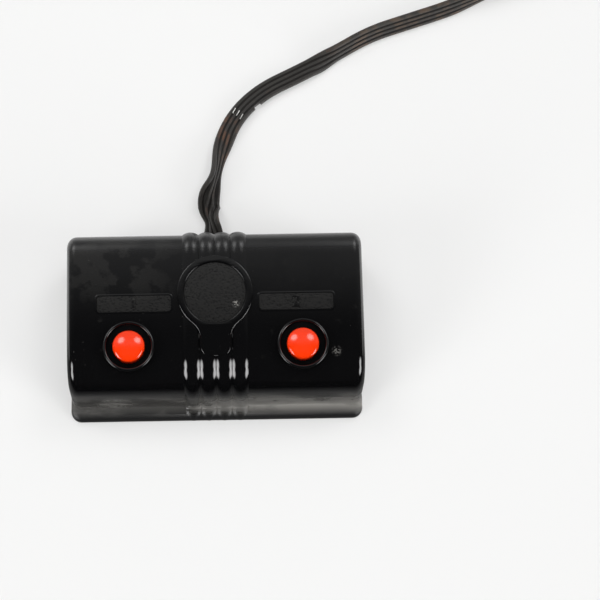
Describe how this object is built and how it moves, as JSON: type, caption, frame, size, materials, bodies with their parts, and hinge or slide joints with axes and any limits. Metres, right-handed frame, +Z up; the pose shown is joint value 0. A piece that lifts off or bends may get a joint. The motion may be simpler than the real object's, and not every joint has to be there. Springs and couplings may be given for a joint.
{
  "type": "tabletop push-button control station",
  "caption": "Small moulded push-button box: domed buttons in ringed wells, a ribbed middle band with a keyhole pad, and a flat ribbon cable that ends in a tied coil.",
  "frame": {"origin": "centre of the case's footprint, at the table, without the free cable", "axes": "+Z up from the table, +X to the right seen from the front, +Y to the rear where the cable leaves"},
  "size_m": [0.1447, 0.1792, 0.0212],
  "materials": {
    "case": "glossy moulded phenolic",
    "button": "glossy",
    "base_plate": "black paint",
    "steel": "plated",
    "insulation": "fibre paper",
    "board": "laminated phenolic",
    "contact_metal": "spring bronze",
    "contact_tip": "silver faced",
    "rivet": "plain",
    "lug": "tinned",
    "cable": "aged vinyl",
    "lead": "insulated wire",
    "tie": "coated wire tie"
  },
  "bodies": {
    "case": {"case_shell": "case", "base_plate": "base_plate", "base_screws": "steel", "insulating_sheet": "insulation", "terminal_board": "board", "board_screws": "steel", "left_blade_foot": "contact_metal", "right_blade_foot": "contact_metal", "left_fixed_contact": "contact_tip", "right_fixed_contact": "contact_tip", "left_fixed_strip": "contact_metal", "right_fixed_strip": "contact_metal", "foot_rivets": "rivet", "strip_rivets": "rivet", "solder_lugs": "lug", "cable_strap": "steel", "strap_rivets": "rivet", "cable_tail": "cable", "lead_wire_1": "lead", "lead_wire_2": "lead", "lead_wire_3": "lead", "lead_wire_4": "lead", "cable_run": "cable", "cable_coil": "cable", "coil_tie": "tie", "cable_end_leads": "lead"},
    "left_button": {"left_button": "button"},
    "right_button": {"right_button": "button"},
    "left_blade": {"left_contact_blade": "contact_metal", "left_moving_contact": "contact_tip"},
    "right_blade": {"right_contact_blade": "contact_metal", "right_moving_contact": "contact_tip"}
  },
  "joints": [
    {"name": "left_button_press", "type": "slide", "parent": "case", "child": "left_button", "axis": [0, 0, -1], "range_m": [0, 0.0015], "stiffness_N_per_m": 300, "springref_m": -0.0015},
    {"name": "left_blade_flex", "type": "hinge", "parent": "case", "child": "left_blade", "pos_m": [-0.0104, -0.0068, 0.008], "axis": [0, -1, 0], "range_deg": [0, 8]},
    {"name": "right_button_press", "type": "slide", "parent": "case", "child": "right_button", "axis": [0, 0, -1], "range_m": [0, 0.0015], "stiffness_N_per_m": 300, "springref_m": -0.0015},
    {"name": "right_blade_flex", "type": "hinge", "parent": "case", "child": "right_blade", "pos_m": [0.0104, -0.0068, 0.008], "axis": [0, 1, 0], "range_deg": [0, 8]}
  ],
  "couplings": [
    {"joint": "left_blade_flex", "follows": "left_button_press", "rad_per_m": 92.5},
    {"joint": "right_blade_flex", "follows": "right_button_press", "rad_per_m": 92.5}
  ]
}
